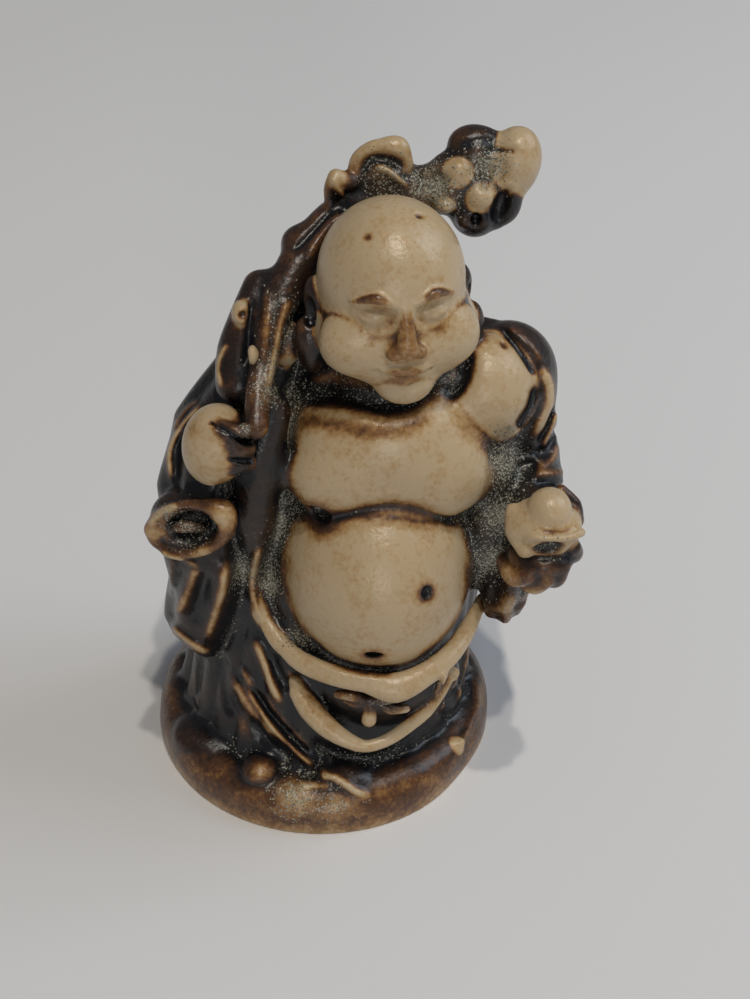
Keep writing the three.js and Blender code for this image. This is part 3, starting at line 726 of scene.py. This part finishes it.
# The sash and the apron. A band of cloth carries the belly. From it an apron hangs to a hem in a V, with
# a knotted bow in the V, and long folds sweep from the right hip to the hem of the robe.

sash_points = [
    (-5.6, -5.4, 24.5),
    (-5.7, -5.8, 21.1),
    (-5.1, -6.9, 18.6),
    (-3.9, -8.6, 17.2),
    (-1.8, -10.6, 16.4),
    (1.0, -12.0, 16.1),
    (3.6, -12.7, 15.9),
    (6.2, -13.0, 15.4),
    (8.8, -12.0, 15.9),
    (11.1, -10.1, 16.4),
    (12.9, -7.4, 16.9),
    (14.4, -4.4, 17.8),
]
SASH_RADII = [0.25, 0.4, 0.65, 0.8, 0.9, 0.95, 0.95, 1.35, 1.05, 0.95, 0.8, 0.5]
sash = roll(sash_points, SASH_RADII, flat=0.7, across=(0, -0.8, 0.6))
apron = ball((4.8, -6.0, 12.0), (7.5, 5.9, 5.4))
hem_points = [
    (-2.6, -9.9, 13.2),
    (-1.3, -11.0, 11.2),
    (0.2, -12.0, 9.8),
    (2.0, -12.8, 8.8),
    (3.6, -13.1, 8.3),
    (5.4, -12.7, 8.5),
    (7.1, -12.0, 9.2),
    (9.0, -11.0, 10.4),
    (10.6, -9.6, 11.8),
    (11.4, -9.0, 13.6),
]
HEM_RADII = [0.9, 1.1, 1.0, 0.75, 0.6, 0.6, 0.65, 0.7, 0.6, 0.4]
hem = roll(hem_points, HEM_RADII, flat=0.8, across=(0, -0.8, 0.6))
clay.press_on(apron, 0.5)
recess_points = [(0.0, -12.2, 13.4), (2.0, -13.4, 12.4), (3.7, -14.0, 11.4), (5.6, -13.9, 11.6)]
recess_points = recess_points + [(8.2, -12.8, 12.6), (10.2, -10.8, 13.8)]
clay.carve(roll(recess_points, [0.6, 1.2, 1.5, 1.5, 1.2, 0.6]), 0.4)
clay.press_on(hem, 0.25)
clay.press_on(sash, 0.2)
under_sash = [(-4.8, -8.6, 15.8), (-2.4, -10.9, 14.6), (0.6, -12.9, 14.2), (3.4, -13.6, 14.1)]
under_sash = under_sash + [(5.9, -13.8, 13.2), (8.6, -13.0, 14.0), (11.0, -11.2, 14.5), (13.4, -7.8, 15.0)]
clay.carve(roll(under_sash, [0.25, 0.4, 0.5, 0.5, 0.25, 0.5, 0.45, 0.3]), 0.25)
bow = (
    roll([(1.2, -12.2, 14.0), (2.4, -12.5, 14.1), (3.5, -12.4, 13.4)], [0.4, 0.55, 0.4]),
    roll([(1.8, -12.0, 13.1), (2.8, -12.4, 13.0), (3.8, -12.4, 12.9)], [0.3, 0.4, 0.3]),
    roll([(3.9, -12.3, 13.4), (4.0, -12.6, 12.4), (3.9, -12.8, 11.4)], [0.45, 0.6, 0.7]),
    roll([(4.4, -12.4, 13.4), (5.4, -12.6, 13.8), (6.4, -12.2, 13.5)], [0.4, 0.65, 0.5]),
    roll([(4.8, -12.4, 12.9), (5.8, -12.6, 12.4), (7.2, -12.2, 12.0)], [0.35, 0.5, 0.4]),
)
for part in bow:
    clay.press_on(part, 0.2)
daub((2.0, -12.8, 14.0), 0.6, -0.35, 0.2)
daub((3.9, -13.2, 11.8), 0.75, -0.6)
daub((7.2, -12.6, 12.0), 0.45, -0.5)
daub((5.6, -12.9, 13.6), 0.9, -0.15, 0.5)
draw([(-1.6, -10.2, 17.0), (0.6, -12.0, 16.8), (3.0, -13.0, 16.7), (5.6, -13.4, 16.6)], 0.22, 0.2, 0.15)
SKIRT_FOLDS = (
    ([(-7.7, -8.4, 14.2), (-6.6, -9.6, 12.9), (-5.6, -9.9, 11.7), (-3.2, -11.2, 8.7), (-1.0, -11.8, 6.4)], 0.35, 0.4, 0.3),
    ([(-6.1, -7.4, 16.5), (-5.3, -8.4, 14.4), (-4.8, -9.2, 12.6), (-3.8, -10.2, 10.9)], 0.4, 0.5, 0.65),
    ([(-4.4, -9.2, 15.9), (-3.9, -9.6, 14.2), (-3.3, -10.4, 12.9)], 0.55, -0.5, -0.1),
    ([(-7.2, -9.6, 13.1), (-5.9, -10.9, 11.0), (-4.1, -12.1, 8.6), (-2.1, -12.7, 6.5), (-0.9, -12.6, 5.0)], 0.3, 0.65, 0.25),
    ([(-8.3, -8.4, 12.4), (-7.4, -9.6, 11.2), (-6.0, -11.2, 9.9), (-4.4, -12.3, 8.4)], 0.55, 0.45, 0.45),
    ([(-6.7, -9.8, 13.3), (-5.2, -10.8, 11.1), (-3.6, -11.4, 8.9), (-1.3, -12.2, 6.0)], 0.42, -0.6, -0.15),
    ([(-9.0, -7.4, 14.2), (-9.2, -8.3, 11.4), (-8.4, -9.5, 8.4)], 0.5, -0.5, -0.1),
    ([(-6.9, -10.0, 8.9), (-5.2, -11.6, 7.4), (-3.2, -12.8, 6.2)], 0.6, -0.35, -0.1),
    ([(-2.4, -11.2, 7.9), (0.6, -12.4, 6.6), (3.9, -12.9, 6.1), (7.0, -12.0, 6.6), (10.2, -9.4, 8.0)], 0.7, -0.45, -0.1),
    ([(-0.3, -12.6, 6.2), (2.0, -13.2, 5.4), (4.6, -13.2, 5.2)], 0.4, 0.3, 0.0),
    ([(10.6, -11.4, 15.6), (10.4, -11.4, 14.2), (9.9, -10.9, 12.0)], 0.28, 0.45, 0.3),
    ([(12.2, -7.6, 13.0), (11.9, -8.0, 10.0), (10.8, -9.0, 7.4)], 0.4, 0.4, 0.2),
    ([(12.9, -5.6, 13.4), (13.0, -6.0, 9.8), (12.0, -7.2, 6.6)], 0.45, -0.45, 0.0),
    ([(13.5, -3.4, 13.6), (13.6, -4.4, 9.4), (12.6, -6.2, 6.0)], 0.4, 0.45, 0.25),
    ([(14.7, -0.6, 3.8), (14.7, -3.4, 3.6), (13.6, -6.6, 3.4), (12.6, -8.2, 3.2)], 0.4, 0.35, 0.2),
    ([(-12.0, -4.6, 11.6), (-12.2, -4.8, 8.0), (-11.9, -5.4, 5.8)], 0.35, 0.25, 0.15),
)
for points, width, height, wiped in SKIRT_FOLDS:
    draw(points, width, height, wiped)
daub((-2.9, -11.2, 11.6), 0.9, -0.5)
daub((-7.8, -9.2, 7.2), 1.0, -0.35)
daub((12.2, -7.0, 9.6), 1.6, -0.1, 0.3)
daub((10.9, -10.6, 13.0), 1.0, 0.05, 0.2)


# The shoes. Two toes stand out from under the hem, worn bright on top.

right_shoe = ball((-6, -11.6, 4.4), (1.7, 1.9, 1.1), (0, 0, -16))
left_shoe = ball((1.4, -12.7, 4.1), (2.5, 1.7, 1.2), (0, 0, -8))
clay.press_on(right_shoe, 0.4)
clay.press_on(left_shoe, 0.5)
draw([(-0.8, -12.6, 4.4), (0.5, -13.5, 5.0), (1.6, -14.0, 4.6), (2.6, -14.3, 3.9), (3.9, -14.2, 3.2)], 0.35, 0.4, 0.6)
draw([(-2.5, -13.5, 3.9), (-1.0, -13.5, 4.0), (0.4, -13.9, 4.2)], 0.3, 0.25, 0.4)
draw([(-2.2, -13.2, 4.6), (-0.6, -13.2, 4.9)], 0.35, -0.3, -0.2)
daub((-5.9, -12.6, 5.0), 1.0, -0.55)
daub((-3.0, -14.4, 3.4), 1.6, -0.3, 0.4)
daub((0.6, -14.9, 3.0), 1.5, -0.25, 0.3)


# The casting's skin. The clay's surface becomes one closed mesh, in metres.


def clay_surface(clay):
    """One vertex in each cell that the surface passes through, and a four-sided face round each edge
    between two cells of the grid that it cuts."""
    field = clay.field
    inside = field < 0
    low = (slice(None, -1),) * 3
    corners = [(i, j, k) for i in (0, 1) for j in (0, 1) for k in (0, 1)]

    def corner(values, i, j, k):
        spans = [slice(s, values.shape[axis] - 1 + s) for axis, s in enumerate((i, j, k))]
        return values[tuple(spans)]

    count = sum(corner(inside, *c).astype(np.int8) for c in corners)
    cut = (count > 0) & (count < 8)
    number = np.full(cut.shape, -1, dtype=np.int32)
    number[cut] = np.arange(cut.sum())
    cells = np.argwhere(cut)
    values = {c: corner(field, *c)[cut] for c in corners}
    total = np.zeros((len(cells), 3))
    crossings = np.zeros(len(cells))
    for a in corners:
        for axis in range(3):
            if a[axis]:
                continue
            b = tuple(1 if k == axis else a[k] for k in range(3))
            crossed = (values[a] < 0) != (values[b] < 0)
            gap = np.where(crossed, values[a] - values[b], 1)
            place = np.tile(np.array(a, dtype=float), (len(cells), 1))
            place[:, axis] += values[a] / gap
            total[crossed] += place[crossed]
            crossings += crossed
    start = np.array([axis[0] for axis in clay.axes])
    places = start + CELL * (cells + total / crossings[:, None])
    faces = []
    for axis in range(3):
        one, two = (axis + 1) % 3, (axis + 2) % 3
        first = [slice(None)] * 3
        second = [slice(None)] * 3
        first[axis], second[axis] = slice(None, -1), slice(1, None)
        for sign, start_inside in ((0, True), (1, False)):
            edge = (inside[tuple(first)] == start_inside) & (inside[tuple(second)] != start_inside)
            at = np.argwhere(edge)
            ring = []
            for back_one, back_two in ((0, 0), (1, 0), (1, 1), (0, 1)):
                cell = at.copy()
                cell[:, one] -= back_one
                cell[:, two] -= back_two
                ring.append(number[tuple(cell.T)])
            ring = ring if sign else ring[::-1]
            faces.append(np.stack(ring, axis=1))
    return places, np.vstack(faces)


MOST_TRIANGLES = 196000

places, faces = clay_surface(clay)
rough_mesh = bpy.data.meshes.new("figurine_clay")
rough_mesh.from_pydata(places * 0.001, [], faces)
figurine = bpy.data.objects.new("buddha_figurine", rough_mesh)
bpy.context.scene.collection.objects.link(figurine)
thinning = figurine.modifiers.new("thin", "DECIMATE")
thinning.ratio = min(1, MOST_TRIANGLES / (2 * len(faces)))
finished = bpy.data.meshes.new_from_object(
    figurine.evaluated_get(bpy.context.evaluated_depsgraph_get())
)
figurine.modifiers.clear()
figurine.data = finished
finished.name = "buddha_figurine"
finished.shade_smooth()


# The colour. The casting is cream all through. A dark brown stain was brushed over it and wiped off, so it
# stays in hollows and on the cloth, and goes amber where it thins. Grey-green dust glitters in the deep gaps.


def spread(values, reach):
    """Each cell's mean over a soft neighbourhood of about that reach in millimetres."""
    half = max(1, round(reach / CELL))
    for axis in range(3):
        for _ in range(2):
            padded = np.pad(values, [(half + 1, half) if k == axis else (0, 0) for k in range(3)])
            total = np.cumsum(padded, axis=axis, dtype=np.float32)
            size = values.shape[axis]
            ahead = np.take(total, range(2 * half + 1, 2 * half + 1 + size), axis=axis)
            behind = np.take(total, range(size), axis=axis)
            values = (ahead - behind) / (2 * half + 1)
    return values


def read_at(values, at):
    """Values of the field at places in millimetres, blended between cells."""
    start = np.array([axis[0] for axis in clay.axes])
    cells = (at - start) / CELL
    base = np.clip(np.floor(cells).astype(int), 0, np.array(values.shape) - 2)
    part = cells - base
    result = 0
    for i in (0, 1):
        for j in (0, 1):
            for k in (0, 1):
                weight = 1
                for axis, step in enumerate((i, j, k)):
                    weight = weight * (part[:, axis] if step else 1 - part[:, axis])
                result = result + weight * values[base[:, 0] + i, base[:, 1] + j, base[:, 2] + k]
    return result


skin_points = np.empty(len(finished.vertices) * 3, dtype=np.float32)
finished.vertices.foreach_get("co", skin_points)
skin_points = skin_points.reshape(-1, 3) * 1000
filled = np.clip(0.5 - clay.field / (2 * CELL), 0, 1).astype(np.float32)
hollow = {reach: read_at(spread(filled, reach), skin_points) - 0.5 for reach in (0.4, 0.9, 2.2)}


def nearness(form, reach):
    """1 on a form's own surface, falling to 0 at that distance from it."""
    return smooth_step(form.distance(*skin_points.T), reach, reach * 0.2)


rubbed_forms = {
    belly: 0.97,
    chest: 0.95,
    right_breast: 0.95,
    left_breast: 0.95,
    fold_of_belly: 0.93,
    shoulder: 1.0,
    skull: 1.06,
    jaw: 1.04,
    right_cheek: 1.04,
    left_cheek: 1.04,
    chin: 1.04,
    fist: 0.76,
    sash: 0.9,
    ingot_dome: 1.05,
    ingot_rim: 1.0,
    ingot_side: 0.9,
    ingot_hull: 0.8,
    hem: 0.62,
    branch_end: 1.05,
    bead_a: 1.0,
    bead_b: 0.95,
    bead_c: 0.85,
    bare_shoulder: 0.9,
    small_knob: 0.8,
    cup_rim: 0.5,
    knob: 0.5,
    stone: 0.75,
    branch: 0.15,
    leaf: 0.3,
    plinth: 0.34,
}
CLOTH_STAIN = 0.8
RIDGE_WIPING = 0.45
rubbed = np.zeros(len(skin_points), dtype=np.float32)
for form, amount in rubbed_forms.items():
    reach = 1.5 if form in (chest, right_breast, left_breast, fold_of_belly) else 0.45
    rubbed = np.maximum(rubbed, amount * nearness(form, reach))
kept = {reach: np.where(values < 0, RIDGE_WIPING * values, values) for reach, values in hollow.items()}
stain = CLOTH_STAIN * (1 - rubbed) + (1.4 + 0.8 * rubbed) * kept[0.4] + 1.4 * kept[0.9] + 0.7 * kept[2.2]
face = head_ball((0, -5.2, -2.0), (4.8, 2.8, 4.8))
stain *= 1 - 0.55 * smooth_step(face.distance(*skin_points.T), 0.8, -0.4)
dust = np.clip(1.4 * hollow[2.2] + 0.6 * hollow[0.9] - 0.2, 0, 0.5)
skin_x, skin_y, skin_z = skin_points.T
for stroke in strokes:
    at = np.all((skin_points > stroke.low) & (skin_points < stroke.high), axis=1)
    stain[at] -= stroke.wiped * stroke.strength(skin_x[at], skin_y[at], skin_z[at])
for centre, reach, more_stain, more_dust in daubs:
    soft = np.exp(-((skin_points - centre) ** 2).sum(axis=1) / reach**2)
    stain += more_stain * soft
    dust += more_dust * soft
stain = np.clip(stain, 0, 1)
dust = np.clip(dust, 0, 1)
for name, values in (("stain", stain), ("dust", dust)):
    layer = finished.attributes.new(name, "FLOAT", "POINT")
    layer.data.foreach_set("value", values.astype(np.float32))

resin = bpy.data.materials.new("stained_resin")
resin.use_nodes = True
nodes, links = resin.node_tree.nodes, resin.node_tree.links
nodes.clear()


def node(kind, **settings):
    """A new node with its settings and the values of its inputs."""
    made = nodes.new(kind)
    for key, value in settings.items():
        if key in made.inputs:
            made.inputs[key].default_value = value
        else:
            setattr(made, key, value)
    return made


def math_node(operation, first, second, clamp=False):
    """A Math node on two sockets or numbers. Returns its result."""
    made = node("ShaderNodeMath", operation=operation, use_clamp=clamp)
    for number, value in enumerate((first, second)):
        if isinstance(value, (int, float)):
            made.inputs[number].default_value = value
        else:
            links.new(value, made.inputs[number])
    return made.outputs[0]


def noise(scale, detail=3.0, roughness=0.6):
    """Noise whose size is given in grains per metre."""
    made = node("ShaderNodeTexNoise", Scale=scale, Detail=detail, Roughness=roughness)
    links.new(coordinates, made.inputs["Vector"])
    return made.outputs["Fac"]


def blend(amount, first, second):
    """A colour between two colours or sockets."""
    made = node("ShaderNodeMix", data_type="RGBA")
    links.new(amount, made.inputs[0])
    for number, value in ((6, first), (7, second)):
        if isinstance(value, tuple):
            made.inputs[number].default_value = (*value, 1)
        else:
            links.new(value, made.inputs[number])
    return made.outputs[2]


coordinates = node("ShaderNodeTexCoord").outputs["Object"]
stain_layer = node("ShaderNodeAttribute", attribute_name="stain").outputs["Fac"]
dust_layer = node("ShaderNodeAttribute", attribute_name="dust").outputs["Fac"]
blotches = math_node("MULTIPLY", math_node("SUBTRACT", noise(450), 0.5), 0.45)
grain = math_node("MULTIPLY", math_node("SUBTRACT", noise(2200, 4), 0.5), 0.45)
depth = math_node("ADD", stain_layer, math_node("ADD", blotches, grain))
ramp = node("ShaderNodeValToRGB")
links.new(depth, ramp.inputs["Fac"])
STAIN_COLOURS = (
    (0.00, (0.51, 0.385, 0.235)),
    (0.14, (0.44, 0.29, 0.135)),
    (0.28, (0.28, 0.14, 0.045)),
    (0.42, (0.11, 0.046, 0.018)),
    (0.60, (0.032, 0.016, 0.010)),
    (0.85, (0.005, 0.005, 0.007)),
)
while len(ramp.color_ramp.elements) < len(STAIN_COLOURS):
    ramp.color_ramp.elements.new(0.5)
for element, (place, colour) in zip(ramp.color_ramp.elements, STAIN_COLOURS):
    element.position = place
    element.color = (*colour, 1)
GRAINS_PER_METRE = 9000.0
specks = node("ShaderNodeTexVoronoi", Scale=GRAINS_PER_METRE)
links.new(coordinates, specks.inputs["Vector"])
chance = node("ShaderNodeSeparateColor")
links.new(specks.outputs["Color"], chance.inputs["Color"])
grain_colour = blend(chance.outputs["Green"], (0.05, 0.045, 0.035), (0.44, 0.42, 0.33))
dusty = math_node("LESS_THAN", chance.outputs["Red"], dust_layer)
film = math_node("MULTIPLY", dust_layer, 0.5)
filmed = blend(film, ramp.outputs["Color"], (0.15, 0.135, 0.10))
colour = blend(dusty, filmed, grain_colour)
bump = node("ShaderNodeBump", Strength=0.4, Distance=0.0002)
links.new(noise(1600, 5), bump.inputs["Height"])
surface = node("ShaderNodeBsdfPrincipled", Roughness=0.27)
surface.inputs["Subsurface Weight"].default_value = 0.12
surface.inputs["Subsurface Radius"].default_value = (1.0, 0.6, 0.3)
surface.inputs["Subsurface Scale"].default_value = 0.0008
links.new(colour, surface.inputs["Base Color"])
links.new(bump.outputs["Normal"], surface.inputs["Normal"])
output = node("ShaderNodeOutputMaterial")
links.new(surface.outputs["BSDF"], output.inputs["Surface"])
finished.materials.append(resin)
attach(figurine, "root")
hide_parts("figurine")


# The table, the light and the camera. A pale table under two small warm lamps high above, with cool
# daylight from the right and a faint glow from in front. The camera looks down from in front.

table_mesh = bpy.data.meshes.new("table")
TABLE_HALF = 1.5
table_corners = [(-TABLE_HALF, -TABLE_HALF, 0), (TABLE_HALF, -TABLE_HALF, 0)]
table_corners += [(TABLE_HALF, TABLE_HALF, 0), (-TABLE_HALF, TABLE_HALF, 0)]
table_mesh.from_pydata(table_corners, [], [(0, 1, 2, 3)])
table = bpy.data.objects.new("table", table_mesh)
bpy.context.scene.collection.objects.link(table)
table_paint = bpy.data.materials.new("pale_table")
table_paint.use_nodes = True
table_shader = table_paint.node_tree.nodes["Principled BSDF"]
table_shader.inputs["Base Color"].default_value = (0.75, 0.745, 0.75, 1)
table_shader.inputs["Roughness"].default_value = 0.8
table_mesh.materials.append(table_paint)


def soft_lamp(name, place, size, power, colour):
    """A square lamp that faces the figurine."""
    lamp = bpy.data.lights.new(name, "AREA")
    lamp.size = size
    lamp.energy = power
    lamp.color = colour
    holder = bpy.data.objects.new(name, lamp)
    holder.location = place
    aim = Vector((0, 0, 0.03)) - holder.location
    holder.rotation_euler = aim.to_track_quat("-Z", "Y").to_euler()
    bpy.context.scene.collection.objects.link(holder)


soft_lamp("ceiling_lamp", (0.12, -0.24, 1.18), 0.03, 2.9, (1.0, 0.93, 0.82))
soft_lamp("second_lamp", (0.12, -0.48, 1.08), 0.03, 2.9, (1.0, 0.93, 0.82))
soft_lamp("daylight", (0.45, 0.05, 0.40), 0.35, 1.1, (0.78, 0.88, 1.0))
soft_lamp("front_glow", (0.02, -0.88, 0.22), 0.15, 0.9, (1.0, 0.98, 0.95))
room = bpy.data.worlds.new("room")
room.use_nodes = True
room.node_tree.nodes["Background"].inputs["Color"].default_value = (0.9, 0.94, 1.0, 1)
room.node_tree.nodes["Background"].inputs["Strength"].default_value = 0.15
bpy.context.scene.world = room
bpy.context.scene.view_settings.view_transform = "Standard"

IMAGE_HEIGHT = 999
FOCAL_PIXELS = 1600.0
CAMERA_PLACE = (0.0, -0.11273, 0.11316)
camera_data = bpy.data.cameras.new("camera")
camera_data.sensor_width = 36.0
camera_data.lens = camera_data.sensor_width * FOCAL_PIXELS / IMAGE_HEIGHT
camera = bpy.data.objects.new("camera", camera_data)
right = Vector((0.9991, -0.0423, 0.0020))
up = Vector((0.0243, 0.6107, 0.7915))
forward = Vector((0.0347, 0.7907, -0.6112))
turned = Matrix((right, up, -forward)).transposed().to_4x4()
camera.matrix_world = Matrix.Translation(CAMERA_PLACE) @ turned
camera_data.clip_start = 0.005
bpy.context.scene.collection.objects.link(camera)
bpy.context.scene.camera = camera
